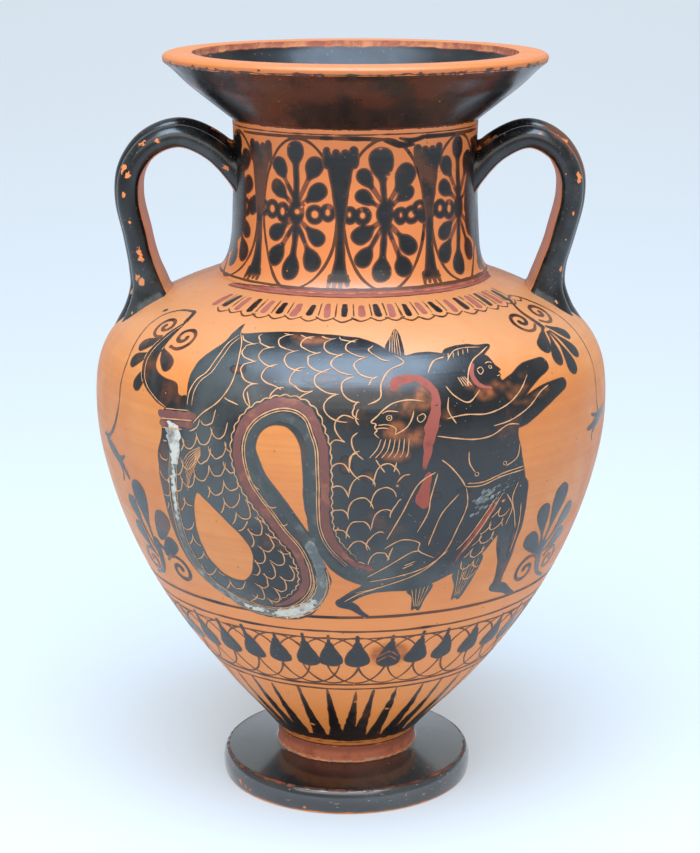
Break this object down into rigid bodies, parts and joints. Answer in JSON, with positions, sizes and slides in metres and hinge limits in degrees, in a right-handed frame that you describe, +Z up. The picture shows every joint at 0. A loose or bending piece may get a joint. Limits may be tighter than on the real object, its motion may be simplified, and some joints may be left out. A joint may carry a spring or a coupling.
{
  "type": "neck amphora",
  "caption": "Ancient black-figure neck amphora in fired clay, hollow, with an ovoid body, disc foot, flaring mouth and reeded strap handles.",
  "frame": {"origin": "on the ground under the middle of the belly, at the level of the foot's resting ring", "axes": "+Z up through the mouth, the handles lie along X and the main picture faces -Y"},
  "size_m": [0.2058, 0.2058, 0.3],
  "materials": {
    "clay": "satin orange fired clay painted with black gloss slip and dull added red"
  },
  "bodies": {
    "root": {"amphora": "clay"}
  },
  "joints": []
}
